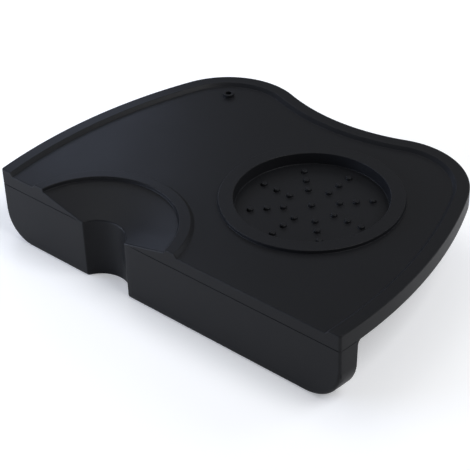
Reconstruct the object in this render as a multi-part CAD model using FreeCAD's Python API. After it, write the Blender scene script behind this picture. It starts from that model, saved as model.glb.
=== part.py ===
import FreeCAD, Part
import math
import os

# Tamper mat: one moulded rubber piece that hooks over the front edge of a counter.
# Sizes are in millimetres. While it is modelled, X = 0 is the middle of the mat, Y = 0 the
# front face and Z = 0 the underside of the pad. The last step moves it to its own frame.

# Plan outline: two bowed sides, two round back corners, and a shallow valley between them
mat_width = 200.0
widest_from_front = 27.0
middle_depth = 129.0
side_radius = 230.0
back_corner_radius = 38.5
valley_radius = 99.0

# Pad and the flat rim along its sides and back
pad_thickness = 6.5
rim_width = 6.8
rim_height = 1.7

# Apron that hangs down in front
apron_drop = 29.5
apron_thickness = 10.5
apron_draft_angle = 1.5
apron_root_radius = 2.0
apron_left_corner_radius = 15.0
apron_right_corner_radius = 18.0

# Crease along the foot of the pad's front and ends
crease_above_underside = 0.4
crease_width = 1.0
crease_depth = 0.4

# Rounding of the front face's edges, and chamfers along the top edges
front_edge_radius = 1.3
top_edge_chamfer = 0.5
ring_chamfer = 0.4

# Tamper seat: a raised ring round a recessed floor with studs
seat_right_of_middle = 28.2
seat_behind_centre = 6.6
seat_radius = 35.0
seat_ring_width = 7.0
seat_ring_height = 1.7
seat_floor_depth = 4.1
seat_floor_chamfer = 1.2

# Studs: one in the middle and the rest on spokes
stud_radius = 1.6
stud_top_radius = 1.2
stud_height = 1.4
stud_spokes = 8
studs_per_spoke = 3
first_stud_radius = 12.6
stud_pitch = 7.5

# Spout rest: a part-cone floor that falls to the notch, inside a raised ring
rest_left_of_middle = 33.2
rest_centre_before_front = 6.2
rest_radius = 38.1
rest_ring_width = 6.8
rest_ring_height = 1.7
rest_ring_slope = 1.4
notch_radius = 14.3
notch_edge_radius = 0.7

# Hanging hole in a small collar, near the back left corner
hole_radius = 1.5
collar_wall = 1.3
collar_height = 1.7
hole_from_corner_centre = 22.1
hole_direction = 125.4

# How far a cutting tool runs past what it cuts, and how close counts as the same place
overrun = 5.0
same_place = 0.000001

# Places that follow from the sizes above
field_top = pad_thickness
rim_top = pad_thickness + rim_height
apron_bottom = -apron_drop
notch_rim_level = crease_above_underside
seat_floor = field_top - seat_floor_depth
seat_centre = FreeCAD.Vector(seat_right_of_middle, middle_depth / 2 + seat_behind_centre, 0)
rest_centre = FreeCAD.Vector(-rest_left_of_middle, -rest_centre_before_front, 0)


def vec(x, y, z=0.0):
    return FreeCAD.Vector(x, y, z)


def near(value, place):
    return abs(value - place) < same_place


def side_centre():
    return vec(mat_width / 2 - side_radius, widest_from_front)


def valley_centre():
    return vec(0, middle_depth + valley_radius)


def corner_centre():
    """Centre of the right back corner, whose arc is tangent to the side arc and to the valley."""
    from_side = side_radius - back_corner_radius
    from_valley = valley_radius + back_corner_radius
    between = valley_centre() - side_centre()
    along = (from_side ** 2 - from_valley ** 2 + between.Length ** 2) / (2 * between.Length)
    across = math.sqrt(from_side ** 2 - along ** 2)
    unit = FreeCAD.Vector(between).normalize()
    normal = vec(unit.y, -unit.x)
    return side_centre() + unit * along + normal * across


def overall_depth():
    return corner_centre().y + back_corner_radius


def mirrored(point):
    return vec(-point.x, point.y, point.z)


def on_circle(centre, radius, toward):
    return centre + FreeCAD.Vector(toward).normalize() * radius


def outline_face(inset, front_y, level):
    """The mat's plan outline, drawn inset by the given distance, with its front line at front_y."""
    side = side_radius - inset
    corner = back_corner_radius - inset
    valley = valley_radius + inset
    to_corner = (corner_centre() - side_centre()).normalize()
    to_valley = (valley_centre() - corner_centre()).normalize()

    front_x = side_centre().x + math.sqrt(side ** 2 - (front_y - widest_from_front) ** 2)
    front = vec(front_x, front_y)
    side_end = side_centre() + to_corner * side
    corner_end = corner_centre() + to_valley * corner
    valley_bottom = valley_centre() - vec(0, valley)

    to_front = (front - side_centre()).normalize()
    side_middle = on_circle(side_centre(), side, to_front + to_corner)
    corner_middle = on_circle(corner_centre(), corner, to_corner + to_valley)

    edges = [
        Part.Arc(front, side_middle, side_end),
        Part.Arc(side_end, corner_middle, corner_end),
        Part.Arc(corner_end, valley_bottom, mirrored(corner_end)),
        Part.Arc(mirrored(corner_end), mirrored(corner_middle), mirrored(side_end)),
        Part.Arc(mirrored(side_end), mirrored(side_middle), mirrored(front)),
        Part.LineSegment(mirrored(front), front),
    ]
    face = Part.Face(Part.Wire([edge.toShape() for edge in edges]))
    face.translate(vec(0, 0, level))
    return face


def outline_prism(inset, front_y, bottom, top):
    return outline_face(inset, front_y, bottom).extrude(vec(0, 0, top - bottom))


def revolved(points, centre):
    """Turn a closed (radius, height) outline round the vertical line through centre."""
    outline = [vec(radius, 0, height) for radius, height in points]
    wire = Part.makePolygon(outline + outline[:1])
    solid = Part.Face(wire).revolve(vec(0, 0, 0), vec(0, 0, 1), 360)
    solid.translate(centre)
    return solid


def raised_ring(centre, inner, outer, height, slope):
    """A flat-topped ring that stands on the field, with a bevel of the given slope round it."""
    root = field_top - seat_floor_depth / 2
    top = field_top + height
    outline = [
        (inner, root),
        (outer, root),
        (outer, top - slope),
        (outer - slope, top),
        (inner + ring_chamfer, top),
        (inner, top - ring_chamfer),
    ]
    return revolved(outline, centre)


def space_under_pad():
    """What is empty below the pad and behind the apron, with the apron's draft and root rounding."""
    fall = apron_drop + overrun
    lean = fall * math.tan(math.radians(apron_draft_angle))
    back = overall_depth() + overrun
    root = vec(0, apron_thickness, 0)
    corners = [
        root,
        vec(0, apron_thickness - lean, -fall),
        vec(0, back, -fall),
        vec(0, back, 0),
    ]
    profile = Part.Face(Part.makePolygon(corners + [root]))
    half = mat_width / 2 + overrun
    profile.translate(vec(-half, 0, 0))
    space = profile.extrude(vec(2 * half, 0, 0))
    root_edges = [
        edge for edge in space.Edges
        if near(edge.BoundBox.ZMin, 0) and near(edge.BoundBox.YMax, apron_thickness)
        and edge.BoundBox.XLength > mat_width
    ]
    return space.makeFillet(apron_root_radius, root_edges)


def lower_end_edge(shape, side):
    """The edge between the apron's end and its bottom, on the given side."""
    for edge in shape.Edges:
        box = edge.BoundBox
        at_bottom = near(box.ZMin, apron_bottom) and near(box.ZLength, 0)
        middle = edge.CenterOfMass
        if at_bottom and box.XLength < apron_thickness and side * middle.x > 0:
            return edge
    return None


def front_outline_edges(shape):
    """Edges of the front face, apart from those along its top."""
    found = []
    for edge in shape.Edges:
        box = edge.BoundBox
        on_front = near(box.YMin, 0) and near(box.YMax, 0)
        below_field = box.ZMin < field_top - same_place
        if on_front and below_field:
            found.append(edge)
    return found


def top_outline_edges(shape):
    return [edge for edge in shape.Edges if near(edge.BoundBox.ZMin, rim_top)]


def field_front_edge(shape):
    """The straight top edge of the front face, between the two ends of the rim."""
    for edge in shape.Edges:
        box = edge.BoundBox
        level = near(box.ZMin, field_top) and near(box.ZLength, 0)
        if level and near(box.YMax, 0) and box.XLength > mat_width / 2:
            return edge
    return None


def rim_inner_edges(shape):
    """Top edges of the rim on its inner side, next to the field."""
    reach = rim_height + overrun
    inner = outline_prism(rim_width - ring_chamfer / 2, -overrun, rim_top - reach, rim_top + reach)
    found = []
    for edge in shape.Edges:
        box = edge.BoundBox
        level = near(box.ZMin, rim_top) and near(box.ZLength, 0)
        if level and inner.isInside(edge.valueAt(edge.FirstParameter), same_place, True):
            if inner.isInside(edge.valueAt(edge.LastParameter), same_place, True):
                found.append(edge)
    return found


def pad_with_apron():
    body = outline_prism(0, 0, apron_bottom, rim_top)
    body = body.cut(space_under_pad())
    body = body.makeFillet(apron_right_corner_radius, [lower_end_edge(body, 1)])
    body = body.makeFillet(apron_left_corner_radius, [lower_end_edge(body, -1)])
    body = body.makeFillet(front_edge_radius, front_outline_edges(body))
    body = body.makeChamfer(top_edge_chamfer, top_outline_edges(body))
    body = body.cut(outline_prism(rim_width, -overrun, field_top, rim_top + overrun))
    body = body.makeChamfer(top_edge_chamfer, [field_front_edge(body)])
    return body.makeChamfer(ring_chamfer, rim_inner_edges(body))


def behind_front(shape):
    """Keep what lies behind the mat's front face."""
    reach = mat_width + overall_depth()
    return shape.common(Part.makeBox(2 * reach, reach, 2 * reach, vec(-reach, 0, -reach)))


def rest_ring():
    outer = rest_radius + rest_ring_width
    ring = raised_ring(rest_centre, rest_radius, outer, rest_ring_height, rest_ring_slope)
    return behind_front(ring)


def rest_and_notch_space():
    """What is empty over the rest's sloping floor and in the notch below it."""
    bottom = apron_bottom - overrun
    top = rim_top + overrun
    outline = [
        (0, bottom),
        (notch_radius, bottom),
        (notch_radius, notch_rim_level),
        (rest_radius, field_top),
        (rest_radius, top),
        (0, top),
    ]
    return revolved(outline, rest_centre)


def notch_front_edges(shape):
    """The two upright edges where the notch opens through the front face."""
    found = []
    for edge in shape.Edges:
        box = edge.BoundBox
        upright = box.ZLength > apron_drop / 2 and near(box.XLength, 0)
        offset = abs(box.Center.x - rest_centre.x)
        if upright and near(box.YMax, 0) and offset < notch_radius:
            found.append(edge)
    return found


def seat_space():
    """The tamper seat's recess, with a chamfer where its floor meets its wall."""
    top = rim_top + overrun
    outline = [
        (0, seat_floor),
        (seat_radius - seat_floor_chamfer, seat_floor),
        (seat_radius, seat_floor + seat_floor_chamfer),
        (seat_radius, top),
        (0, top),
    ]
    return revolved(outline, seat_centre)


def stud(centre):
    """A tapered round peg on the seat's floor, with a short root in the pad."""
    root = seat_floor - stud_height / 2
    top = seat_floor + stud_height
    outline = [
        (0, root),
        (stud_radius, root),
        (stud_radius, seat_floor),
        (stud_top_radius, top),
        (0, top),
    ]
    return revolved(outline, centre)


def studs():
    found = [stud(seat_centre)]
    for spoke in range(stud_spokes):
        angle = 2 * math.pi * spoke / stud_spokes
        for place in range(studs_per_spoke):
            distance = first_stud_radius + place * stud_pitch
            offset = vec(distance * math.cos(angle), distance * math.sin(angle))
            found.append(stud(seat_centre + offset))
    return found


def hole_centre():
    angle = math.radians(hole_direction)
    offset = vec(hole_from_corner_centre * math.cos(angle), hole_from_corner_centre * math.sin(angle))
    return mirrored(corner_centre()) + offset


def crease_groove():
    """A shallow groove along the front and round both ends, as far back as the apron goes."""
    bottom = crease_above_underside - crease_width / 2
    top = crease_above_underside + crease_width / 2
    outside = outline_prism(-overrun, -overrun, bottom, top)
    inside = outline_prism(crease_depth, crease_depth, bottom - overrun, top + overrun)
    upright = [
        edge for edge in inside.Edges
        if edge.BoundBox.ZLength > overrun and near(edge.BoundBox.YMax, crease_depth)
    ]
    inside = inside.makeFillet(front_edge_radius - crease_depth, upright)
    reach = mat_width + overrun
    along_apron = Part.makeBox(2 * reach, apron_thickness + overrun, reach, vec(-reach, -overrun, -reach / 2))
    return outside.cut(inside).common(along_apron)


def tamper_mat():
    body = pad_with_apron()
    body = body.cut(crease_groove())

    seat_outer = seat_radius + seat_ring_width
    seat_ring = raised_ring(seat_centre, seat_radius, seat_outer, seat_ring_height, ring_chamfer)
    body = body.fuse(seat_ring)
    body = body.cut(seat_space())
    body = body.fuse(studs())

    body = body.fuse(rest_ring())
    body = body.cut(rest_and_notch_space())
    body = body.makeFillet(notch_edge_radius, notch_front_edges(body))

    centre = hole_centre()
    collar = raised_ring(centre, hole_radius, hole_radius + collar_wall, collar_height, ring_chamfer)
    body = body.fuse(collar)
    through = rim_top + overrun + overrun
    body = body.cut(Part.makeCylinder(hole_radius, through, centre - vec(0, 0, overrun)))

    body = body.removeSplitter()
    body.translate(vec(0, -overall_depth() / 2, 0))
    return body


def main():
    os.makedirs("parts", exist_ok=True)
    tamper_mat().exportStep("parts/tamper_mat.step")


main()
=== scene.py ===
"""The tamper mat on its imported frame: one moulded rubber piece, its studs, and a plain pale studio.

The mat's sizes are in millimetres and its leans and directions in degrees. Angles between functions are in
radians. In plan, y is 0 at the front face and x is 0 in the middle, and a place is a row of x and y. Lamps,
floor and finished meshes are in metres.
"""

import logging
import math
from dataclasses import dataclass
from enum import Enum

import bpy
import numpy as np
from mathutils import Matrix, Vector
from mathutils.geometry import delaunay_2d_cdt


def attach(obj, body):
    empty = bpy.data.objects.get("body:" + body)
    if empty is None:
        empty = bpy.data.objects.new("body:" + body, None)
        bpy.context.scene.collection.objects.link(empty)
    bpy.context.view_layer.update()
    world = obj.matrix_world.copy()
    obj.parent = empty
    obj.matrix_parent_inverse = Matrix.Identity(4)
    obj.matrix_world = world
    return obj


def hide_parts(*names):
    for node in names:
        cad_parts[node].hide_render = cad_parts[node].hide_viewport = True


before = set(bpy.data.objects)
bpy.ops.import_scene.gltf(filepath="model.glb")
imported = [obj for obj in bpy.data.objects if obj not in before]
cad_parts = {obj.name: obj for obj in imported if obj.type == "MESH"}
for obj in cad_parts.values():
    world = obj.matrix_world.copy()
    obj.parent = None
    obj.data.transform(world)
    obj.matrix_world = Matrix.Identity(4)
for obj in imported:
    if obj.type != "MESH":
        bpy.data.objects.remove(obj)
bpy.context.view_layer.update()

log = logging.getLogger("tamper_mat")

# A millimetre in metres
MM = 0.001
# A place this near a drawn line lies on it
SNAP = 0.006
# Two drawn points this near each other are one
MERGE = 1e-5
# A length is never taken to be less than this when something is divided by it
SHORTEST = 1e-9
# The narrow strip beside a rounding that keeps the flat face next to it flat
HOLD = 0.06
# How far a line runs out past the edge that it ends at
PAST = 1.5
# A rounding smaller than this is left out
TINY = 0.02

# One row of a section: offset, height, and edge wear with a painted highlight
Row = tuple[float, float, float]
Colour = tuple[float, float, float]
Place = tuple[float, float, float]


class Body(Enum):
    """The bodies that pieces ride on."""

    WHOLE = "root"


class Slot(Enum):
    """The record's material slots."""

    RUBBER = "rubber"


class Node(Enum):
    """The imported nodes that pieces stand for."""

    MAT = "tamper_mat"


class Side(Enum):
    """The two ends of the apron."""

    LEFT = -1
    RIGHT = 1


# Drawing in plan


def arc(centre: np.ndarray, radius: float, start: float, end: float, steps: int) -> np.ndarray:
    """Points along an arc, from a first angle to a last one in equal steps."""
    angles = np.linspace(start, end, steps + 1)
    return centre + radius * np.column_stack((np.cos(angles), np.sin(angles)))


def circle(centre: np.ndarray, radius: float, steps: int) -> np.ndarray:
    """A full circle, whose last point is its first one again."""
    return arc(centre, radius, 0.0, 2 * math.pi, steps)


def quarter_turn(count: int) -> np.ndarray:
    """A number of angles from nothing to a right angle."""
    return np.linspace(0.0, math.pi / 2, count)


def bearing(vector: np.ndarray) -> float:
    """Angle of a plan vector from +X."""
    return math.atan2(vector[1], vector[0])


def distance(here: np.ndarray, point: np.ndarray) -> np.ndarray:
    """How far each place lies from a point."""
    return np.hypot(*(here - point).T)


def mirrored(rows: np.ndarray) -> np.ndarray:
    """The same places on the mat's other half."""
    return rows * (-1, 1)


def both_halves(half: np.ndarray) -> np.ndarray:
    """A line over the right half that ends in the middle, carried on over the left half."""
    return np.vstack([half, mirrored(half)[-2::-1]])


def left_of(here: np.ndarray, start: np.ndarray, end: np.ndarray) -> np.ndarray:
    """Which places lie to the left of a line from one point to another."""
    along, away = end - start, here - start
    return along[0] * away[:, 1] - along[1] * away[:, 0] > 0


def inside_loop(here: np.ndarray, loop: np.ndarray) -> np.ndarray:
    """Which places lie inside a closed loop.

    Args:
        here: Rows of x and y.
        loop: The loop's corners as rows of x and y.

    Returns:
        True for each place inside.
    """
    inside = np.zeros(len(here), dtype=bool)
    x, y = here.T
    for (x0, y0), (x1, y1) in zip(loop, np.roll(loop, -1, axis=0)):
        if y0 == y1:
            continue
        crosses = (y0 > y) != (y1 > y)
        inside ^= crosses & (x < (x1 - x0) * (y - y0) / (y1 - y0) + x0)
    return inside


def roll(depth: np.ndarray, radius: float) -> np.ndarray:
    """How far a rounded edge drops at a depth inside it: all its radius at the edge, nothing past it."""
    inside = np.clip(radius - depth, 0.0, radius)
    return radius - np.sqrt(np.maximum(radius ** 2 - inside ** 2, 0.0))


def ease(value: np.ndarray, low: float, high: float) -> np.ndarray:
    """A smooth rise from 0 at the low value to 1 at the high one."""
    share = np.clip((value - low) / (high - low), 0.0, 1.0)
    return share * share * (3 - 2 * share)


def snapped(values: np.ndarray, marks: np.ndarray) -> np.ndarray:
    """Values moved onto the nearest mark where they all but touch it.

    Args:
        values: Offsets.
        marks: The offsets that lines were drawn at.

    Returns:
        The values, with those within SNAP of a mark set to that mark.
    """
    places = np.clip(np.searchsorted(marks, values), 1, len(marks) - 1)
    low, high = marks[places - 1], marks[places]
    nearest = np.where(values - low < high - values, low, high)
    return np.where(np.abs(values - nearest) < SNAP, nearest, values)


# Sections through the top surface


@dataclass(frozen=True)
class Wall:
    """The side of a raised form: the fillet at its foot, the rounding of its top edge and its lean."""

    foot_radius: float
    edge_radius: float
    lean: float = 2.0
    steps: int = 6

    def half_run(self, height: float) -> float:
        """Half of how far the wall leans over a height."""
        return height * math.tan(math.radians(self.lean)) / 2

    def rows(self, low: float, top: float) -> list[Row]:
        """Rows of the wall, rising outward from a foot at offset 0.

        Args:
            low: Height at its foot.
            top: Height at its top.

        Returns:
            Rows of offset, height, and edge wear with a painted highlight.
        """
        lean = math.radians(self.lean)
        upright = math.pi / 2 - lean
        foot, edge = self.foot_radius, self.edge_radius
        reach = foot * math.tan(upright / 2)
        rows = [(-reach - HOLD, low, 0.0)]
        for turn in np.linspace(0.0, upright, self.steps + 1):
            rows.append((foot * math.sin(turn) - reach, low + foot * (1 - math.cos(turn)), 0.0))
        start = top - edge * (1 - math.cos(upright))
        run = (start - rows[-1][1]) * math.tan(lean)
        centre = rows[-1][0] + run + edge * math.sin(upright)
        for turn in np.linspace(upright, 0.0, self.steps + 1):
            # The top edge's rounding is marked for wear and a painted highlight, most at its middle
            wear_and_highlight = max(math.sin(2 * turn), 0.0) ** 0.5
            rows.append((centre - edge * math.sin(turn), top - edge * (1 - math.cos(turn)), wear_and_highlight))
        rows.append((centre + HOLD, top, 0.0))
        return rows


class Section:
    """Height, and edge wear with a painted highlight, of the top surface against an offset, drawn outward.
    """

    def __init__(self, offset: float, height: float) -> None:
        """Start the section at an offset and a height."""
        self.rows: list[Row] = [(offset, height, 0.0)]

    @property
    def offsets(self) -> np.ndarray:
        """Offsets of the rows."""
        return np.array([row[0] for row in self.rows])

    def line_to(self, offset: float, height: float) -> None:
        """Draw a straight run to an offset and a height."""
        self.rows.append((offset, height, 0.0))

    def lip(self, offset: float, top: float, radius: float, count: int = 6) -> None:
        """Draw a rounded edge that rises from an open side.

        Args:
            offset: Where the open side is.
            top: Height of the flat beyond the edge.
            radius: The edge's radius.
            count: How many points the rounding has.
        """
        for turn in quarter_turn(count):
            # The rounding is marked for wear and a painted highlight
            wear_and_highlight = math.sin(2 * turn) ** 0.5 if 0 < turn < math.pi / 2 else 0.0
            inward, down = radius * (1 - math.cos(turn)), radius * (1 - math.sin(turn))
            self.rows.append((offset + inward, top - down, wear_and_highlight))
        self.line_to(offset + radius + HOLD, top)

    def climb(self, foot: float, top: float, wall: Wall) -> None:
        """Draw a wall from the present height up to a top, with its foot at an offset."""
        rising = wall.rows(self.rows[-1][1], top)
        self.rows += [(foot + offset, height, wear_and_highlight) for offset, height, wear_and_highlight in rising]

    def fall(self, foot: float, bottom: float, wall: Wall) -> None:
        """Draw a wall from the present height down to a bottom, with its foot at an offset."""
        falling = reversed(wall.rows(bottom, self.rows[-1][1]))
        self.rows += [(foot - offset, height, wear_and_highlight) for offset, height, wear_and_highlight in falling]

    def read(self, offset: np.ndarray) -> tuple[np.ndarray, np.ndarray]:
        """Read the section.

        Args:
            offset: Where to read it.

        Returns:
            The heights, and the wear and painted highlight from 0 to 1.
        """
        table = np.array(self.rows)
        place = snapped(offset, table[:, 0])
        return np.interp(place, table[:, 0], table[:, 1]), np.interp(place, table[:, 0], table[:, 2])


# The mat's forms


@dataclass(frozen=True)
class Outline:
    """The mat's plan: bowed sides, round back corners, a valley between them and a straight front."""

    width: float = 200.0
    widest_from_front: float = 27.0
    middle_depth: float = 129.0
    side_radius: float = 230.0
    corner_radius: float = 38.5
    valley_radius: float = 99.0
    front_corner_radius: float = 1.3
    side_steps: int = 56
    corner_steps: int = 72
    valley_steps: int = 34
    front_corner_steps: int = 7

    @property
    def side_centre(self) -> np.ndarray:
        """Centre of the right side's arc."""
        return np.array([self.width / 2 - self.side_radius, self.widest_from_front])

    @property
    def valley_centre(self) -> np.ndarray:
        """Centre of the valley's arc, behind the mat."""
        return np.array([0.0, self.middle_depth + self.valley_radius])

    @property
    def corner_centre(self) -> np.ndarray:
        """Centre of the right back corner, tangent to the side and to the valley.

        Returns:
            Its x and y.
        """
        near, far = self.side_radius - self.corner_radius, self.valley_radius + self.corner_radius
        between = self.valley_centre - self.side_centre
        length = float(np.hypot(*between))
        along = (near ** 2 - far ** 2 + length ** 2) / (2 * length)
        across = math.sqrt(near ** 2 - along ** 2)
        unit = between / length
        return self.side_centre + unit * along + np.array([unit[1], -unit[0]]) * across

    @property
    def front_corner_centre(self) -> np.ndarray:
        """Centre of the small rounding between the front and the right side.

        Returns:
            Its x and y.
        """
        radius = self.side_radius - self.front_corner_radius
        rise = self.front_corner_radius - self.widest_from_front
        return np.array([self.side_centre[0] + math.sqrt(radius ** 2 - rise ** 2), self.front_corner_radius])

    @property
    def depth(self) -> float:
        """Overall depth, from the front face to the back corners."""
        return float(self.corner_centre[1] + self.corner_radius)

    def right_half(self, inset: float, from_angle: float) -> np.ndarray:
        """The right side, back corner and half the valley, drawn inside the outline.

        Args:
            inset: Distance inside the outline.
            from_angle: The side arc's first angle.

        Returns:
            Rows of x and y, from the side's front to the middle of the valley.
        """
        side, corner, valley = self.side_centre, self.corner_centre, self.valley_centre
        to_corner, to_valley = bearing(corner - side), bearing(valley - corner)
        side_arc = arc(side, self.side_radius - inset, from_angle, to_corner, self.side_steps)
        corner_arc = arc(corner, self.corner_radius - inset, to_corner, to_valley, self.corner_steps)
        to_valley -= math.pi
        valley_arc = arc(valley, self.valley_radius + inset, to_valley, -math.pi / 2, self.valley_steps)
        return np.vstack([side_arc, corner_arc[1:], valley_arc[1:]])

    def inner_line(self, inset: float) -> np.ndarray:
        """A line inside the outline, along the sides and back, run out past the front at both ends."""
        start = -math.asin((self.widest_from_front + PAST) / (self.side_radius - inset))
        return both_halves(self.right_half(inset, start))

    def side_gap(self, here: np.ndarray) -> np.ndarray:
        """Distance inside the sides and the back.

        Args:
            here: Rows of x and y.

        Returns:
            The distance, exact near the outline.
        """
        folded = np.column_stack((np.abs(here[:, 0]), here[:, 1]))
        side, corner, valley = self.side_centre, self.corner_centre, self.valley_centre
        to_side = self.side_radius - distance(folded, side)
        to_corner = self.corner_radius - distance(folded, corner)
        to_valley = distance(folded, valley) - self.valley_radius
        past_side = np.where(left_of(folded, corner, valley), to_valley, to_corner)
        return np.where(left_of(folded, side, corner), past_side, to_side)

    def front_gap(self, here: np.ndarray) -> np.ndarray:
        """Distance inside the front face and its two small round corners.

        Args:
            here: Rows of x and y.

        Returns:
            The distance.
        """
        x, y = here.T
        centre = self.front_corner_centre
        dx, dy = np.abs(x) - centre[0], y - centre[1]
        turn = np.arctan2(dy, dx)
        in_wedge = (turn > -math.pi / 2) & (turn < bearing(centre - self.side_centre))
        return np.where(in_wedge, self.front_corner_radius - np.hypot(dx, dy), y)


@dataclass(frozen=True)
class Rim:
    """The flat raised rim along the sides and the back."""

    width: float = 6.8
    height: float = 1.7
    wall: Wall = Wall(foot_radius=0.6, edge_radius=0.5, lean=44.0)

    def section(self) -> Section:
        """Height above the field, against the distance inside the outline.

        Returns:
            The section, from the flat of the rim down to the field.
        """
        made = Section(0.0, self.height)
        made.fall(self.width + self.wall.half_run(self.height), 0.0, self.wall)
        return made


@dataclass(frozen=True)
class TamperSeat:
    """A round recess for the tamper, inside a raised ring."""

    right_of_middle: float = 28.2
    behind_front: float = 71.1
    radius: float = 35.0
    ring_width: float = 7.0
    ring_height: float = 1.7
    floor_depth: float = 4.1
    foot_inset: float = 0.15
    inner_wall: Wall = Wall(foot_radius=0.4, edge_radius=0.35, lean=3.0)
    outer_wall: Wall = Wall(foot_radius=0.3, edge_radius=0.35, lean=5.0)
    steps: int = 200

    @property
    def centre(self) -> np.ndarray:
        """The seat's centre in plan."""
        return np.array([self.right_of_middle, self.behind_front])

    def section(self, field_top: float) -> Section:
        """Height against the distance from the seat's centre.

        Args:
            field_top: Height of the field round the seat.

        Returns:
            The section, from the floor over the ring to the field.
        """
        made = Section(0.0, field_top - self.floor_depth)
        made.climb(self.radius - self.foot_inset, field_top + self.ring_height, self.inner_wall)
        spread = self.outer_wall.half_run(self.ring_height)
        made.fall(self.radius + self.ring_width + spread, field_top, self.outer_wall)
        return made


@dataclass(frozen=True)
class SpoutRest:
    """A part-cone floor that falls to a notch in the front, inside a raised ring."""

    left_of_middle: float = 33.2
    before_front: float = 6.2
    radius: float = 38.1
    ring_width: float = 6.8
    ring_height: float = 1.7
    inner_wall: Wall = Wall(foot_radius=0.6, edge_radius=0.4, lean=7.0)
    outer_wall: Wall = Wall(foot_radius=0.6, edge_radius=0.4, lean=42.0)
    notch_radius: float = 14.3
    notch_level: float = 0.4
    notch_corner_radius: float = 0.7
    ring_steps: int = 110
    notch_steps: int = 64
    notch_corner_steps: int = 6

    @property
    def centre(self) -> np.ndarray:
        """The common centre of the ring, the cone and the notch, in plan."""
        return np.array([-self.left_of_middle, -self.before_front])

    @property
    def notch_corner_centre(self) -> np.ndarray:
        """Centre of the rounding between the notch and the front, right of the notch's centre.

        Returns:
            Its x and y.
        """
        rise = self.notch_corner_radius + self.before_front
        run = math.sqrt((self.notch_radius + self.notch_corner_radius) ** 2 - rise ** 2)
        return np.array([run, rise]) + self.centre

    def section(self, field_top: float) -> Section:
        """Height against the distance from the rest's centre.

        Args:
            field_top: Height of the field round the rest.

        Returns:
            The section, from the notch up the cone and over the ring to the field.
        """
        slope = (field_top - self.notch_level) / (self.radius - self.notch_radius)
        spread = self.inner_wall.half_run(self.ring_height)
        foot = self.radius - spread - self.inner_wall.foot_radius - HOLD
        made = Section(self.notch_radius, self.notch_level)
        made.line_to(foot, self.notch_level + slope * (foot - self.notch_radius))
        made.climb(self.radius - spread, field_top + self.ring_height, self.inner_wall)
        made.fall(self.radius + self.ring_width, field_top, self.outer_wall)
        return made

    def notch_gap(self, here: np.ndarray) -> np.ndarray:
        """Distance outside the notch and its two small round corners.

        Args:
            here: Rows of x and y.

        Returns:
            The distance.
        """
        dx, dy = np.abs(here[:, 0] - self.centre[0]), here[:, 1] - self.centre[1]
        corner = self.notch_corner_centre - self.centre
        cx, cy = dx - corner[0], dy - corner[1]
        turn = np.arctan2(cy, cx)
        in_wedge = (turn < -math.pi / 2) & (turn > bearing(-corner))
        outside = np.hypot(dx, dy) - self.notch_radius
        return np.where(in_wedge, self.notch_corner_radius - np.hypot(cx, cy), outside)

    def notch_line(self, inset: float) -> np.ndarray:
        """The notch's edge, from its left end over its back to its right end.

        Args:
            inset: Distance outside the notch.

        Returns:
            Rows of x and y, with the roundings into the front at both ends.
        """
        corner = self.notch_corner_centre
        radius = self.notch_radius + inset
        small = self.notch_corner_radius - inset
        if small > TINY:
            start = bearing(corner - self.centre)
            turn = arc(corner, small, -math.pi / 2, start - math.pi, self.notch_corner_steps)
        else:
            start = math.asin((self.before_front + inset) / radius)
            turn = np.empty((0, 2))
        back = arc(self.centre, radius, math.pi - start, start, self.notch_steps)
        return np.vstack([mirrored(turn - self.centre) + self.centre, back, turn[::-1]])


@dataclass(frozen=True)
class HangingCollar:
    """A hole for hanging the mat up, in a small raised collar."""

    hole_radius: float = 1.5
    width: float = 1.35
    height: float = 1.7
    # How far inside the hole's edge the section starts
    start_inside: float = 0.5
    wall: Wall = Wall(foot_radius=0.25, edge_radius=0.2)
    from_corner_centre: float = 22.1
    direction: float = 125.4
    steps: int = 40

    def centre(self, outline: Outline) -> np.ndarray:
        """The hole's centre, measured from the centre of the left back corner.

        Args:
            outline: The mat's plan.

        Returns:
            Its x and y.
        """
        turn = math.radians(self.direction)
        reach = np.array([math.cos(turn), math.sin(turn)]) * self.from_corner_centre
        return mirrored(outline.corner_centre) + reach

    def section(self, field_top: float) -> Section:
        """Height against the distance from the hole's centre.

        Args:
            field_top: Height of the field round the collar.

        Returns:
            The section, from the hole's edge over the collar to the field.
        """
        edge_radius, top = self.wall.edge_radius, field_top + self.height
        made = Section(self.hole_radius - self.start_inside, top - edge_radius)
        made.lip(self.hole_radius, top, edge_radius)
        made.fall(self.hole_radius + self.width, field_top, self.wall)
        return made


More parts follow.
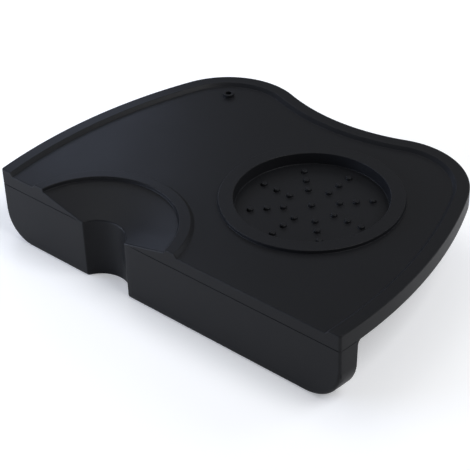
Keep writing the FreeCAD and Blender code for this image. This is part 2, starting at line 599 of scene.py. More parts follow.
@dataclass(frozen=True)
class Apron:
    """The flap that hangs down in front of the counter's edge."""

    drop: float = 29.5
    thickness: float = 10.5
    draft: float = 1.5
    root_radius: float = 2.0
    edge_radius: float = 0.5
    left_corner_radius: float = 15.0
    right_corner_radius: float = 18.0
    foot_points: int = 5
    root_points: int = 8
    corner_points: int = 19
    across_points: int = 60
    end_points: int = 6
    # Shares of the back's height at which rows hold it flat, between its two roundings
    holding_rows: tuple[float, ...] = (0.04, 0.96, 1.0)
    # How far the back's top would stand behind its foot without draft, so that no two rows meet
    root_step: float = 0.001
    # How far behind the front face the lower corners' lines run, just past the root
    lines_end: float = 13.0

    def corner_radius(self, side: Side) -> float:
        """Radius of the lower corner at one end."""
        return self.right_corner_radius if side is Side.RIGHT else self.left_corner_radius

    def back_wall(self) -> np.ndarray:
        """The apron's back, from its bottom edge up to the pad's underside.

        Returns:
            Rows of y and height.
        """
        foot = self.thickness - self.drop * math.tan(math.radians(self.draft))
        rows = [(foot - self.edge_radius - HOLD, -self.drop)]
        for turn in quarter_turn(self.foot_points):
            y = foot - self.edge_radius * (1 - math.sin(turn))
            rows.append((y, self.edge_radius * (1 - math.cos(turn)) - self.drop))
        (low_y, low), (high_y, high) = rows[-1], (self.thickness + self.root_step, -self.root_radius)
        for share in self.holding_rows:
            rows.append((low_y + (high_y - low_y) * share, low + (high - low) * share))
        for turn in quarter_turn(self.root_points)[1:]:
            y = self.thickness + self.root_radius * (1 - math.cos(turn))
            rows.append((y, -self.root_radius * (1 - math.sin(turn))))
        rows.append((rows[-1][0] + HOLD, 0.0))
        return np.array(rows)

    def end_lines(self, side: Side, outline: Outline) -> list[np.ndarray]:
        """Lines along one end, inside the outline, that its lower corner bends along.

        Args:
            side: Which end.
            outline: The mat's plan.

        Returns:
            Arrays of rows of x and y, from before the front to past the apron's root.
        """
        lines = []
        for turn in quarter_turn(self.corner_points)[1:]:
            radius = outline.side_radius - self.corner_radius(side) * (1 - np.cos(turn))
            rises = np.linspace(-PAST, self.lines_end, self.end_points) - outline.widest_from_front
            angles = np.arcsin(rises / radius)
            bow = outline.side_centre + radius * np.column_stack((np.cos(angles), np.sin(angles)))
            lines.append(bow * (side.value, 1))
        return lines

    def bottom(self, x: np.ndarray, side_gap: np.ndarray, bevel: np.ndarray) -> np.ndarray:
        """Height of the apron's lower face.

        Args:
            x: Plan x.
            side_gap: Distance inside the sides.
            bevel: How far the rounding of the front face's edge lifts it.

        Returns:
            The height.
        """
        radius = np.where(x > 0, self.right_corner_radius, self.left_corner_radius)
        inside = np.clip(radius - side_gap, 0.0, None)
        reach = np.maximum((radius - bevel) ** 2 - inside ** 2, 0.0)
        return radius - self.drop - np.sqrt(reach)


@dataclass(frozen=True)
class Crease:
    """The fine groove between the pad's edge and the apron."""

    level: float = 0.4
    width: float = 0.8
    depth: float = 0.17
    upper_slope: float = 0.15
    lower_slope: float = 0.1
    margin: float = 0.3

    def levels(self) -> list[tuple[float, float]]:
        """Heights down past the groove.

        Returns:
            Pairs of a height and its share of the groove's depth.
        """
        half = self.width / 2
        above = ((half + self.margin, 0.0), (half, 0.0), (half - self.upper_slope, 1.0))
        below = ((self.lower_slope - half, 1.0), (-half, 0.0), (-half - self.margin, 0.0))
        return [(self.level + step, share) for step, share in above + below]


@dataclass
class MatForm:
    """The whole form of the mat as two height fields over one plan."""

    thickness: float = 6.5
    top_edge_radius: float = 0.6
    underside_edge_radius: float = 0.4
    front_left_points: int = 22
    front_right_points: int = 40
    outline: Outline = Outline()
    rim: Rim = Rim()
    seat: TamperSeat = TamperSeat()
    rest: SpoutRest = SpoutRest()
    collar: HangingCollar = HangingCollar()
    apron: Apron = Apron()
    crease: Crease = Crease()
    # Distances inside the edge at which lines are drawn, close together on the roundings
    edge_insets: tuple[float, ...] = (0.0, 0.02, 0.08, 0.18, 0.3, 0.45, 0.6, 0.7, 0.95, 1.3, 1.38)

    def __post_init__(self) -> None:
        """Draw each section once, for the readings that follow."""
        self.insets = np.array(self.edge_insets)
        self.rim_section = self.rim.section()
        self.seat_section = self.seat.section(self.thickness)
        self.rest_section = self.rest.section(self.thickness)
        self.collar_section = self.collar.section(self.thickness)
        self.hole = self.collar.centre(self.outline)
        self.wall_rows = self.apron.back_wall()

    def edge_loop(self, inset: float) -> np.ndarray:
        """The outline with the notch, drawn inside the edge all the way round.

        Args:
            inset: Distance inside the edge.

        Returns:
            Rows of x and y of a closed loop, against the clock.
        """
        outline = self.outline
        corner = outline.front_corner_centre
        small = outline.front_corner_radius - inset
        if small > TINY:
            first = bearing(corner - outline.side_centre)
            turn = arc(corner, small, -math.pi / 2, first, outline.front_corner_steps)[:-1]
        else:
            first = -math.asin((outline.widest_from_front - inset) / (outline.side_radius - inset))
            turn = np.empty((0, 2))
        half = np.vstack([turn, outline.right_half(inset, first)])
        notch = self.rest.notch_line(inset)
        right = np.linspace(notch[-1], half[0], self.front_right_points)[1:-1]
        left = np.linspace(mirrored(half[0]), notch[0], self.front_left_points)[1:-1]
        return np.vstack([both_halves(half), left, notch, right])

    def hole_loop(self) -> np.ndarray:
        """The hanging hole's edge as a closed loop, without a repeated end."""
        return circle(self.hole, self.collar.hole_radius, self.collar.steps)[:-1]

    def open_lines(self) -> list[np.ndarray]:
        """Lines that the surface bends along, apart from its edges.

        Returns:
            Arrays of rows of x and y, run out past the edges that they end at.
        """
        lines = [self.outline.inner_line(inset) for inset in self.rim_section.offsets[1:]]
        for radius in self.seat_section.offsets[1:]:
            lines.append(circle(self.seat.centre, radius, self.seat.steps))
        for radius in self.rest_section.offsets[1:]:
            start = math.asin((self.rest.before_front - PAST) / radius)
            lines.append(arc(self.rest.centre, radius, start, math.pi - start, self.rest.ring_steps))
        for radius in self.collar_section.offsets[2:]:
            lines.append(circle(self.hole, radius, self.collar.steps))
        half = self.outline.width / 2 + 2 * PAST
        for y in self.wall_rows[:, 0]:
            lines.append(np.linspace((-half, y), (half, y), self.apron.across_points))
        for side in Side:
            lines += self.apron.end_lines(side, self.outline)
        return lines

    def on_upright(self, here: np.ndarray) -> np.ndarray:
        """Which places lie on the roundings of the upright edges at the front.

        Args:
            here: Rows of x and y.

        Returns:
            True on the rounding of a front corner or of one of the notch's corners.
        """
        x, y = here.T
        front, notch = self.outline.front_corner_centre, self.rest.notch_corner_centre
        middle = self.rest.centre[0]
        to_front = np.hypot(np.abs(x) - front[0], y - front[1]) - self.outline.front_corner_radius
        to_notch = np.hypot(np.abs(x - middle) + middle - notch[0], y - notch[1])
        to_notch -= self.rest.notch_corner_radius
        return (np.abs(to_front) < TINY) | (np.abs(to_notch) < TINY)

    def top(self, here: np.ndarray) -> tuple[np.ndarray, np.ndarray]:
        """Read the top surface.

        Args:
            here: Rows of x and y.

        Returns:
            The heights, and the edge wear and painted highlight from 0 to 1.
        """
        side_gap, y = self.outline.side_gap(here), here[:, 1]
        gaps = [side_gap, self.outline.front_gap(here), y, self.rest.notch_gap(here)]
        gap = snapped(np.minimum.reduce(gaps), self.insets)
        readings = [self.rim_section.read(side_gap)]
        height = self.thickness + readings[0][0]
        for section, centre in (
            (self.seat_section, self.seat.centre),
            (self.rest_section, self.rest.centre),
            (self.collar_section, self.hole),
        ):
            readings.append(section.read(distance(here, centre)))
            height += readings[-1][0] - self.thickness
        share = np.clip(gap / self.top_edge_radius, 0.0, 1.0)
        # The outer top edge's rounding is marked for wear and a painted highlight
        edge_wear_and_highlight = np.where(gap < self.top_edge_radius, 1.0 - share ** 2, 0.0)
        wear_and_highlight = np.maximum.reduce([reading[1] for reading in readings] + [edge_wear_and_highlight])
        return height - roll(gap, self.top_edge_radius), wear_and_highlight

    def bottom(self, here: np.ndarray) -> np.ndarray:
        """Read the underside.

        Args:
            here: Rows of x and y.

        Returns:
            The heights.
        """
        x, y = here.T
        side_gap = snapped(self.outline.side_gap(here), self.insets)
        front_gap = snapped(np.minimum(self.outline.front_gap(here), y), self.insets)
        notch_gap = snapped(self.rest.notch_gap(here), self.insets)
        lower = self.apron.bottom(x, side_gap, roll(front_gap, self.outline.front_corner_radius))
        lower += roll(notch_gap, self.rest.notch_corner_radius)
        wall_y, wall_height = self.wall_rows.T
        height = np.maximum(lower, np.interp(snapped(y, wall_y), wall_y, wall_height))
        behind = np.clip((y - self.apron.thickness) / self.apron.root_radius, 0.0, 1.0)
        height += behind * roll(side_gap, self.underside_edge_radius)
        hole_gap = distance(here, self.hole) - self.collar.hole_radius
        return height + roll(hole_gap, self.collar.wall.edge_radius)


# Finishes


@dataclass(frozen=True)
class Noise:
    """A noise texture: the size of its main spots, its detail and its roughness."""

    size: float
    detail: float
    roughness: float = 0.5


class Nodes:
    """A short hand for building a node tree."""

    def __init__(self, tree: bpy.types.NodeTree) -> None:
        """Empty a tree and start on it."""
        self.tree = tree
        tree.nodes.clear()

    def put(self, value: object, target: bpy.types.NodeSocket) -> None:
        """Lead a socket into an input, or set the input to a plain value.

        Args:
            value: A socket, a number, a colour or a vector.
            target: The input.
        """
        if isinstance(value, bpy.types.NodeSocket):
            self.tree.links.new(value, target)
        else:
            target.default_value = value

    def add(self, kind: str, **settings: object) -> bpy.types.Node:
        """Add a node.

        Args:
            kind: The node's type name.
            settings: Its properties, or its inputs by a name with spaces written as underscores.

        Returns:
            The node.
        """
        node = self.tree.nodes.new(kind)
        for name, value in settings.items():
            if hasattr(node, name):
                setattr(node, name, value)
            else:
                self.put(value, node.inputs[name.replace("_", " ")])
        return node

    def sum(self, operation: str, *values: object) -> bpy.types.NodeSocket:
        """Add a math node.

        Args:
            operation: The kind of sum.
            values: Its sockets and numbers, in order.

        Returns:
            The socket of its result.
        """
        node = self.add("ShaderNodeMath", operation=operation)
        for value, target in zip(values, node.inputs):
            self.put(value, target)
        return node.outputs[0]

    def noise(self, place: bpy.types.NodeSocket, noise: Noise) -> bpy.types.NodeSocket:
        """Add a noise texture that is read at a place in metres, and return its value's socket."""
        return self.add("ShaderNodeTexNoise", Vector=place, Scale=1 / (noise.size * MM), Detail=noise.detail,
                        Roughness=noise.roughness).outputs["Fac"]

    def mapped(self, value: bpy.types.NodeSocket, span: tuple[float, float], onto: tuple[float, float],
               curve: str = "LINEAR") -> bpy.types.NodeSocket:
        """Map a value from one span onto another, evenly or along a named curve."""
        node = self.add("ShaderNodeMapRange", interpolation_type=curve, Value=value, From_Min=span[0],
                        From_Max=span[1], To_Min=onto[0], To_Max=onto[1])
        return node.outputs["Result"]


@dataclass(frozen=True)
class MouldedRubber:
    """Matt moulded rubber with a fine grain, faint mottling, and edges that are slightly polished and
    painted lighter, partly as wear and partly as a painted highlight.
    """

    name: str = "moulded_rubber"
    colour: Colour = (0.0096, 0.0099, 0.0112)
    # The lighter edge colour is partly edge wear and partly a painted highlight on the roundings
    edge_wear_and_highlight_colour: Colour = (0.0135, 0.0138, 0.0150)
    roughness: tuple[float, float] = (0.39, 0.45)
    edge_roughness: float = 0.38
    specular: float = 0.11
    grain: Noise = Noise(0.35, 3.0, 0.55)
    grain_depth: float = 0.012
    grain_strength: float = 0.6
    scuff: Noise = Noise(2.2, 4.0)
    scuff_span: tuple[float, float] = (0.35, 0.65)
    least_scuff: float = 0.35
    mottle: Noise = Noise(26.0, 5.0, 0.6)
    mottle_span: tuple[float, float] = (0.3, 0.7)
    mottle_shades: tuple[float, float] = (0.96, 1.04)

    def build(self) -> bpy.types.Material:
        """Build the material.

        Returns:
            The material, in Object coordinates, with edge wear and a painted highlight read from the mesh.
        """
        material = bpy.data.materials.new(self.name)
        material.use_nodes = True
        nodes = Nodes(material.node_tree)
        place = nodes.add("ShaderNodeTexCoord").outputs["Object"]
        mottle = nodes.noise(place, self.mottle)
        tint = nodes.add("ShaderNodeValToRGB", Fac=mottle)
        for element, at, shade in zip(tint.color_ramp.elements, self.mottle_span, self.mottle_shades):
            element.position = at
            element.color = (*(channel * shade for channel in self.colour), 1)

        # Edges marked in the mesh are painted lighter and glossier: partly wear, partly a painted highlight
        wear_and_highlight = nodes.add("ShaderNodeAttribute", attribute_name="edge_wear_and_highlight").outputs["Fac"]
        scuff = nodes.noise(place, self.scuff)
        share = nodes.sum("MULTIPLY", wear_and_highlight, nodes.mapped(scuff, self.scuff_span, (self.least_scuff, 1.0)))
        colour = nodes.add("ShaderNodeMix", data_type="RGBA", Factor=share)
        nodes.put(tint.outputs["Color"], colour.inputs[6])
        nodes.put((*self.edge_wear_and_highlight_colour, 1), colour.inputs[7])
        polish = nodes.add("ShaderNodeMix", data_type="FLOAT", Factor=share)
        nodes.put(nodes.mapped(mottle, self.mottle_span, self.roughness), polish.inputs[2])
        nodes.put(self.edge_roughness, polish.inputs[3])

        grain = nodes.noise(place, self.grain)
        bump = nodes.add("ShaderNodeBump", Height=grain, Strength=self.grain_strength,
                         Distance=self.grain_depth * MM)
        shader = nodes.add("ShaderNodeBsdfPrincipled", Base_Color=colour.outputs[2],
                           Roughness=polish.outputs[0], Specular_IOR_Level=self.specular,
                           Normal=bump.outputs["Normal"])
        nodes.add("ShaderNodeOutputMaterial", Surface=shader.outputs["BSDF"])
        return material


@dataclass(frozen=True)
class StudioPaper:
    """The studio's pale paper, which holds a shadow near the mat and turns plain white further off."""

    name: str = "studio_paper"
    colour: Colour = (0.9, 0.9, 0.9)
    roughness: float = 0.9
    specular: float = 0.1
    glow: tuple[float, float] = (0.28, 1.0)
    # Where the glow starts to rise and where it is full, in metres from the middle of the mat
    glow_span: tuple[float, float] = (0.12, 0.65)

    def build(self) -> bpy.types.Material:
        """Build the material.

        Returns:
            The material, which glows for the camera, and in what mirrors or lets through its light.
        """
        material = bpy.data.materials.new(self.name)
        material.use_nodes = True
        nodes = Nodes(material.node_tree)
        shader = nodes.add("ShaderNodeBsdfPrincipled", Base_Color=(*self.colour, 1),
                           Roughness=self.roughness, Specular_IOR_Level=self.specular)
        path = nodes.add("ShaderNodeLightPath").outputs
        seen = nodes.sum("MAXIMUM", path["Is Camera Ray"], path["Is Glossy Ray"])
        seen = nodes.sum("MAXIMUM", seen, path["Is Transmission Ray"])
        away = nodes.add("ShaderNodeVectorMath", operation="LENGTH")
        nodes.put(nodes.add("ShaderNodeNewGeometry").outputs["Position"], away.inputs[0])
        rise = nodes.mapped(away.outputs["Value"], self.glow_span, self.glow, "SMOOTHSTEP")
        glow = nodes.add("ShaderNodeEmission", Strength=nodes.sum("MULTIPLY", seen, rise))
        both = nodes.add("ShaderNodeAddShader")
        nodes.put(shader.outputs["BSDF"], both.inputs[0])
        nodes.put(glow.outputs["Emission"], both.inputs[1])
        nodes.add("ShaderNodeOutputMaterial", Surface=both.outputs["Shader"])
        return material


# Meshes and objects


def smooth(mesh: bpy.types.Mesh, angle: float = 38.0) -> None:
    """Shade a mesh smooth, apart from its sharp edges.

    Args:
        mesh: The mesh.
        angle: The angle in degrees past which an edge is sharp.
    """
    mesh.polygons.foreach_set("use_smooth", [True] * len(mesh.polygons))
    mesh.set_sharp_from_angle(angle=math.radians(angle))
    mesh.update()


def in_scene(name: str, data: bpy.types.ID) -> bpy.types.Object:
    """Put a new object with its data in the scene.

    Args:
        name: The object's name.
        data: Its mesh, lamp or camera.

    Returns:
        The object, at the origin.
    """
    made = bpy.data.objects.new(name, data)
    bpy.context.scene.collection.objects.link(made)
    return made


def settle(piece: bpy.types.Object) -> bpy.types.Object:
    """Set a finished rubber piece on its body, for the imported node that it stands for.

    Args:
        piece: The piece.

    Returns:
        The same piece.
    """
    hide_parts(Node.MAT.value)
    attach(piece, Body.WHOLE.value)
    log.info("%s: %d points, %d faces", piece.name, len(piece.data.vertices), len(piece.data.polygons))
    return piece


@dataclass
class MatBody:
    """The moulded mat as one closed mesh, drawn over its plan from the form's two height fields."""

    form: MatForm
    rubber: bpy.types.Material
    name: str = "mat_body"
    # Heights of two rows of each wall, measured in from its top edge and from its bottom edge
    edge_rows: tuple[float, float] = (0.1, 0.35)
    # A wall that reaches lower than this, and stands clear of the notch, is the apron's
    apron_below: float = -1.0
    clear_of_notch: float = 0.1
    # The crease fades out over these heights of the wall's top, and over these distances from the back
    crease_heights: tuple[float, float] = (0.6, 1.2)
    crease_ends: tuple[float, float] = (1.6, 0.2)
    # The least step down from row to row, where the wall's top is low
    least_step: float = 0.02
    # How strongly the upright front edges and the walls' top edges are marked for wear and a painted
    # highlight
    upright_wear_and_highlight: float = 0.6
    lip_wear_and_highlight: float = 0.5

    def plan(self) -> tuple[np.ndarray, np.ndarray]:
        """Divide the plan into triangles that follow every line the surface bends along.

        Returns:
            Rows of x and y, and rows of three corners against the clock.
        """
        form = self.form
        loops = [form.edge_loop(inset) for inset in form.insets] + [form.hole_loop()]
        points: list[np.ndarray] = []
        edges: list[tuple[int, int]] = []
        start = 0
        for lines, closed in ((loops, True), (form.open_lines(), False)):
            for line in lines:
                count = len(line)
                points.append(line)
                edges += [(start + i, start + i + 1) for i in range(count - 1)]
                if closed:
                    edges.append((start + count - 1, start))
                start += count
        corners = [Vector(row) for row in np.vstack(points)]
        made = delaunay_2d_cdt(corners, edges, [], 0, MERGE, False)
        places = np.array([tuple(corner) for corner in made[0]])
        faces = np.array(made[2])
        middles = places[faces].mean(axis=1)
        faces = faces[inside_loop(middles, loops[0]) & ~inside_loop(middles, loops[-1])]
        a, b, c = (places[faces[:, i]] for i in range(3))
        area = (b[:, 0] - a[:, 0]) * (c[:, 1] - a[:, 1]) - (b[:, 1] - a[:, 1]) * (c[:, 0] - a[:, 0])
        faces[area < 0] = faces[area < 0][:, ::-1]
        used, faces = np.unique(faces, return_inverse=True)
        return places[used], faces.reshape(-1, 3)

    def border(self, faces: np.ndarray) -> np.ndarray:
        """Edges that only one triangle has.

        Args:
            faces: Rows of three corners against the clock.

        Returns:
            Rows of two corners, each with the plan on its left.
        """
        edges = np.vstack([faces[:, [0, 1]], faces[:, [1, 2]], faces[:, [2, 0]]])
        size = int(faces.max()) + 1
        forward = edges[:, 0].astype(np.int64) * size + edges[:, 1]
        backward = edges[:, 1].astype(np.int64) * size + edges[:, 0]
        return edges[~np.isin(forward, backward)]

    def inward(self, plan: np.ndarray, border: np.ndarray) -> np.ndarray:
        """Which way is inward at each point of the plan's border.

        Args:
            plan: Rows of x and y.
            border: Rows of two corners, each with the plan on its left.

        Returns:
            A unit vector for each point on the border, and nothing for the plan's other points.
        """
        step = plan[border[:, 1]] - plan[border[:, 0]]
        length = np.maximum(np.hypot(*step.T), SHORTEST)
        normal = np.column_stack((-step[:, 1], step[:, 0])) / length[:, None]
        inward = np.zeros_like(plan)
        np.add.at(inward, border[:, 0], normal)
        np.add.at(inward, border[:, 1], normal)
        return inward / np.maximum(np.hypot(*inward.T), SHORTEST)[:, None]

    def columns(self, here: np.ndarray, inward: np.ndarray, high: np.ndarray,
                low: np.ndarray) -> tuple[np.ndarray, np.ndarray]:
        """Points down the walls, with the crease let into the front and the apron's ends.

        Args:
            here: Rows of x and y of the border's points.
            inward: The way inward at each of them.
            high: Heights of the top surface there.
            low: Heights of the underside there.

        Returns:
            For each point its column of x, y and height, and the wear and painted highlight down that
            column.
        """
        form, y = self.form, here[:, 1]
        hangs = low < self.apron_below
        on_apron = hangs & (form.rest.notch_gap(here) > self.clear_of_notch)
        fade_from, fade_to = (form.apron.thickness - end for end in self.crease_ends)
        share = ease(high, *self.crease_heights) * (1 - ease(y, fade_from, fade_to)) * on_apron
        groove, ends = form.crease.levels(), len(self.edge_rows)
        count = len(groove) + 2 * ends
        heights = np.empty((len(here), count))
        depths = np.zeros((len(here), count))
        for k, inset in enumerate(self.edge_rows):
            heights[:, k], heights[:, -1 - k] = high - inset, low + inset
        first, last = heights[:, ends - 1], heights[:, -ends]
        for k, (level, part) in enumerate(groove, start=ends):
            plain = first + (last - first) * (k - ends + 1) / (len(groove) + 1)
            grooved = np.minimum(level, first - self.least_step * k)
            heights[:, k] = np.where(on_apron, grooved, plain)
            depths[:, k] = share * part * form.crease.depth
        places = here[:, None, :] + inward[:, None, :] * depths[:, :, None]
        wear_and_highlight = np.zeros((len(here), count))
        # The upright edges and each wall's top row are marked for wear and a painted highlight
        wear_and_highlight += self.upright_wear_and_highlight * (form.on_upright(here) & hangs)[:, None]
        wear_and_highlight[:, 0] = self.lip_wear_and_highlight
        return np.concatenate([places, heights[:, :, None]], axis=2), wear_and_highlight

    def build(self) -> bpy.types.Mesh:
        """Build the mesh, in metres in the mat's own frame.

        Returns:
            The mesh, with the edge wear and painted highlight as a point attribute.
        """
        plan, faces = self.plan()
        top, wear_and_highlight = self.form.top(plan)
        bottom = self.form.bottom(plan)
        border = self.border(faces)
        ring = np.unique(border)
        inward = self.inward(plan, border)[ring]
        columns, column_wear_and_highlight = self.columns(plan[ring], inward, top[ring], bottom[ring])

        count, levels = len(plan), columns.shape[1]
        polygons = [tuple(face) for face in faces.tolist()]
        polygons += [tuple(face[::-1] + count) for face in faces]
        walls = {
            point: [point, *range(2 * count + i * levels, 2 * count + (i + 1) * levels), point + count]
            for i, point in enumerate(ring.tolist())
        }
        for a, b in border.tolist():
            left, right = walls[a], walls[b]
            for k in range(levels + 1):
                polygons.append((right[k], left[k], left[k + 1], right[k + 1]))

        points = np.vstack([np.c_[plan, top], np.c_[plan, bottom], columns.reshape(-1, 3)])
        points[:, 1] -= self.form.outline.depth / 2
        mesh = bpy.data.meshes.new(self.name)
        mesh.from_pydata((points * MM).tolist(), [], polygons)
        mesh.validate()
        # The edge wear and painted highlight, kept on the mesh for the material
        values = np.concatenate([wear_and_highlight, np.zeros(count), column_wear_and_highlight.reshape(-1)])
        layer = mesh.attributes.new("edge_wear_and_highlight", "FLOAT", "POINT")
        layer.data.foreach_set("value", values.astype(np.float32))
        smooth(mesh)
        return mesh

    def dress(self) -> bpy.types.Object:
        """Build the piece, give it its finish and set it on its body.

        Returns:
            The finished piece.
        """
        mesh = self.build()
        mesh.materials.append(self.rubber)
        return settle(in_scene(self.name, mesh))


@dataclass
class StudField:
    """The studs on the seat's floor: one in the middle and the rest on spokes."""

    form: MatForm
    rubber: bpy.types.Material
    name: str = "seat_studs"
    radius: float = 1.6
    taper: float = 0.1
    height: float = 1.4
    edge_radius: float = 0.7
    edge_points: int = 7
    foot_radius: float = 0.25
    foot_points: int = 5
    sunk: float = 0.4
    steps: int = 28
    sharp_angle: float = 50.0
    spokes: int = 8
    per_spoke: int = 3
    first_radius: float = 12.6
    pitch: float = 7.5
    height_spread: float = 0.03
    seed: int = 7

    def profile(self) -> list[tuple[float, float]]:
        """Half of a stud's upright section, without its two points on the axis.

        Returns:
            Rows of radius and height, from below the floor to the top.
        """
        skirt = self.radius + self.foot_radius
        rows = [(skirt, -self.sunk), (skirt, 0.0)]
        for turn in quarter_turn(self.foot_points)[1:]:
            reach = self.radius + self.foot_radius * (1 - math.sin(turn))
            rows.append((reach, self.foot_radius * (1 - math.cos(turn))))
        shoulder = self.radius - self.taper - self.edge_radius
        for turn in quarter_turn(self.edge_points):
            reach = shoulder + self.edge_radius * math.cos(turn)
            rows.append((reach, self.height - self.edge_radius * (1 - math.sin(turn))))
        rows.append((shoulder / 2, self.height))
        return rows

    def one_stud(self) -> bpy.types.Mesh:
        """A single stud, its section turned round the upright line through the origin, in metres.

        Returns:
            A closed mesh whose foot is let a little way into the floor.
        """
        rows, steps = self.profile(), self.steps
        points = [(0.0, 0.0, -self.sunk)]
        for radius, height in rows:
            for k in range(steps):
                turn = 2 * math.pi * k / steps
                points.append((radius * math.cos(turn), radius * math.sin(turn), height))
        points.append((0.0, 0.0, self.height))
        last = len(points) - 1
        faces: list[tuple[int, ...]] = []
        for k in range(steps):
            after = (k + 1) % steps
            faces.append((0, 1 + after, 1 + k))
            for low in range(1, last - steps, steps):
                high = low + steps
                faces.append((low + k, low + after, high + after, high + k))
            faces.append((last - steps + k, last - steps + after, last))
        mesh = bpy.data.meshes.new(self.name)
        mesh.from_pydata([[value * MM for value in point] for point in points], [], faces)
        smooth(mesh, self.sharp_angle)
        return mesh

    def tree(self) -> bpy.types.NodeTree:
        """The node tree that sets copies of the stud on the spokes.

        Returns:
            A tree whose inputs are the seat's centre and the pattern's own sizes.
        """
        tree = bpy.data.node_groups.new("stud_spokes", "GeometryNodeTree")
        kinds = {"Geometry": "Geometry", "Centre": "Vector", "Spokes": "Int", "Per Spoke": "Int",
                 "First Radius": "Float", "Pitch": "Float", "Height Spread": "Float", "Seed": "Int",
                 "Rubber": "Material"}
        for name, kind in kinds.items():
            tree.interface.new_socket(name, in_out="INPUT", socket_type="NodeSocket" + kind)
        tree.interface.new_socket("Geometry", in_out="OUTPUT", socket_type="NodeSocketGeometry")
        nodes = Nodes(tree)
        ins = nodes.add("NodeGroupInput").outputs

        index = nodes.add("GeometryNodeInputIndex").outputs[0]
        spoke = nodes.sum("FLOOR", nodes.sum("DIVIDE", index, ins["Per Spoke"]))
        place = nodes.sum("SUBTRACT", index, nodes.sum("MULTIPLY", spoke, ins["Per Spoke"]))
        turn = nodes.sum("MULTIPLY", spoke, nodes.sum("DIVIDE", 2 * math.pi, ins["Spokes"]))
        reach = nodes.sum("ADD", ins["First Radius"], nodes.sum("MULTIPLY", place, ins["Pitch"]))
        offset = nodes.add("ShaderNodeCombineXYZ",
                           X=nodes.sum("MULTIPLY", reach, nodes.sum("COSINE", turn)),
                           Y=nodes.sum("MULTIPLY", reach, nodes.sum("SINE", turn)))
        count = nodes.sum("MULTIPLY", ins["Spokes"], ins["Per Spoke"])
        spots = nodes.add("GeometryNodePoints", Count=count, Position=offset.outputs[0])
        joined = nodes.add("GeometryNodeJoinGeometry")
        for points in (spots, nodes.add("GeometryNodePoints")):
            nodes.put(points.outputs[0], joined.inputs[0])
        moved = nodes.add("GeometryNodeSetPosition", Geometry=joined.outputs[0], Offset=ins["Centre"])

        spread = nodes.add("FunctionNodeRandomValue", data_type="FLOAT", Seed=ins["Seed"])
        nodes.put(nodes.sum("SUBTRACT", 1.0, ins["Height Spread"]), spread.inputs[2])
        nodes.put(1.0, spread.inputs[3])
        scale = nodes.add("ShaderNodeCombineXYZ", X=1.0, Y=1.0, Z=spread.outputs[1])
        copies = nodes.add("GeometryNodeInstanceOnPoints", Points=moved.outputs[0],
                           Instance=ins["Geometry"], Scale=scale.outputs[0])
        real = nodes.add("GeometryNodeRealizeInstances", Geometry=copies.outputs[0])
        coated = nodes.add("GeometryNodeSetMaterial", Geometry=real.outputs[0], Material=ins["Rubber"])
        nodes.add("NodeGroupOutput", Geometry=coated.outputs[0])
        return tree

    def dress(self) -> bpy.types.Object:
        """Set the studs out, make them one plain mesh and set it on its body.

        Returns:
            The finished piece.
        """
        form = self.form
        piece = in_scene(self.name, self.one_stud())
        modifier = piece.modifiers.new("studs", "NODES")
        modifier.node_group = self.tree()
        x, y = form.seat.centre
        floor = form.thickness - form.seat.floor_depth
        values = {
            "Centre": (x * MM, (y - form.outline.depth / 2) * MM, floor * MM),
            "Spokes": self.spokes,
            "Per Spoke": self.per_spoke,
            "First Radius": self.first_radius * MM,
            "Pitch": self.pitch * MM,
            "Height Spread": self.height_spread,
            "Seed": self.seed,
            "Rubber": self.rubber,
        }
        for item in modifier.node_group.interface.items_tree:
            if item.in_out == "INPUT" and item.name in values:
                modifier[item.identifier] = values[item.name]
        graph = bpy.context.evaluated_depsgraph_get()
        mesh = bpy.data.meshes.new_from_object(piece.evaluated_get(graph), depsgraph=graph)
        piece.modifiers.remove(modifier)
        piece.data = mesh
        return settle(piece)


# The studio


@dataclass(frozen=True)
class SoftBox:
    """A soft lamp that points at the mat: its place and size in metres, its power and its colour."""

    name: str
    place: Place
    size: tuple[float, float]
    power: float
    colour: Colour

    def hang(self) -> None:
        """Hang the lamp, unseen by the camera itself."""
        lamp = bpy.data.lights.new(self.name, "AREA")
        lamp.shape = "RECTANGLE"
        lamp.size, lamp.size_y = self.size
        lamp.energy = self.power
        lamp.color = self.colour
        made = in_scene(self.name, lamp)
        made.location = self.place
        made.rotation_euler = (-Vector(self.place)).to_track_quat("-Z", "Y").to_euler()
        made.visible_camera = False


@dataclass(frozen=True)
class PhotoCamera:
    """The camera that the photograph was taken with, found by fitting the mat's own sizes.

    Its aim, its moves and the sensor are in millimetres, its focal length and picture in pixels, and the
    distances between which it sees are in metres.
    """

    azimuth: float = 41.724
    elevation: float = 35.492
    tilt: float = -2.028
    aim: Place = (0.0, 1.273, 6.5)
    moved_left: float = 12.087
    moved_down: float = 25.948
    distance: float = 687.740
    focal_length: float = 1508.753
    picture_width: float = 470.0
    sensor_width: float = 36.0
    clip: tuple[float, float] = (0.01, 100.0)

    def stand(self) -> None:
        """Set the camera up as the scene's own."""
        azimuth, elevation, tilt = (math.radians(a) for a in (self.azimuth, self.elevation, self.tilt))
        level = math.cos(elevation)
        back = Vector((math.sin(azimuth) * level, -math.cos(azimuth) * level, math.sin(elevation)))
        right = Vector((math.cos(azimuth), math.sin(azimuth), 0.0))
        up = back.cross(right)
        cosine, sine = math.cos(tilt), math.sin(tilt)
        right, up = right * cosine + up * sine, up * cosine - right * sine
        place = Vector(self.aim) - right * self.moved_left - up * self.moved_down + back * self.distance
        data = bpy.data.cameras.new("camera")
        data.sensor_width = self.sensor_width
        data.lens = self.focal_length / self.picture_width * self.sensor_width
        data.clip_start, data.clip_end = self.clip
        matrix = Matrix((right, up, back)).transposed().to_4x4()
        matrix.translation = place * MM
        made = in_scene("camera", data)
        made.matrix_world = matrix
        bpy.context.scene.camera = made


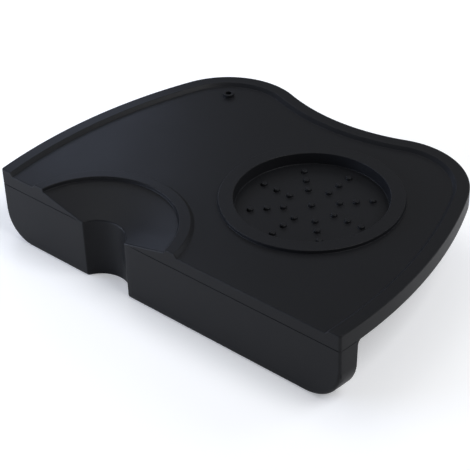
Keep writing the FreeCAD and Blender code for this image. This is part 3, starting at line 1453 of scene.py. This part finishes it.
@dataclass
class Studio:
    """The floor, the light and the camera."""

    # Height of the apron's foot, and how far below it the floor lies, in millimetres
    floor_level: float = -29.5
    floor_gap: float = 0.2
    # Half the floor's length and width, in metres
    floor_half: float = 12.0
    world_strength: float = 0.08
    paper: StudioPaper = StudioPaper()
    camera: PhotoCamera = PhotoCamera()
    soft_boxes: tuple[SoftBox, ...] = (
        SoftBox("overhead", (-0.25, 0.3, 1.4), (1.0, 1.0), 1.9, (0.99, 0.99, 1.0)),
        SoftBox("overhead_left", (-0.7, 0.2, 1.3), (0.9, 0.9), 3.5, (0.96, 0.98, 1.0)),
        SoftBox("high_right", (0.75, 0.1, 1.05), (0.8, 0.8), 9.0, (0.96, 0.97, 1.0)),
        SoftBox("back", (-0.35, 1.3, 0.7), (0.9, 0.7), 0.95, (0.98, 0.98, 1.0)),
        SoftBox("back_right", (0.55, 0.85, 0.56), (0.5, 0.5), 2.0, (0.85, 0.9, 1.0)),
        SoftBox("back_left", (-1.1, 0.9, 0.8), (0.9, 0.9), 0.65, (0.88, 0.92, 1.0)),
        SoftBox("front_left", (-0.42, -0.38, 0.1), (0.5, 0.12), 2.5, (0.70, 0.79, 1.0)),
        SoftBox("close_left", (-0.295, 0.15, 0.15), (0.12, 0.12), 0.11, (0.62, 0.72, 1.0)),
    )

    def lay_floor(self) -> None:
        """Lay a large pale floor under the mat's apron."""
        half, level = self.floor_half, (self.floor_level - self.floor_gap) * MM
        corners = [(-half, -half, level), (half, -half, level), (half, half, level), (-half, half, level)]
        mesh = bpy.data.meshes.new("floor")
        mesh.from_pydata(corners, [], [(0, 1, 2, 3)])
        mesh.materials.append(self.paper.build())
        in_scene("floor", mesh)

    def light_world(self) -> None:
        """Give the world its plain white light."""
        world = bpy.data.worlds.new("studio")
        bpy.context.scene.world = world
        world.use_nodes = True
        back = world.node_tree.nodes["Background"]
        back.inputs["Color"].default_value = (1.0, 1.0, 1.0, 1.0)
        back.inputs["Strength"].default_value = self.world_strength

    def build(self) -> None:
        """Set the floor, the light, the camera and the view transform up."""
        self.lay_floor()
        for box in self.soft_boxes:
            box.hang()
        self.light_world()
        self.camera.stand()
        bpy.context.scene.view_settings.view_transform = "Standard"


def main() -> None:
    """Build the studio and the mat, and report each piece."""
    logging.basicConfig(level=logging.INFO, format="%(name)s %(message)s")
    Studio().build()
    rubber = MouldedRubber().build()
    form = MatForm()
    for piece in (MatBody(form, rubber).dress(), StudField(form, rubber).dress()):
        low = [round(min(corner[i] for corner in piece.bound_box) / MM, 2) for i in range(3)]
        high = [round(max(corner[i] for corner in piece.bound_box) / MM, 2) for i in range(3)]
        log.info("%s from %s to %s mm", piece.name, low, high)


if __name__ == "__main__":
    main()
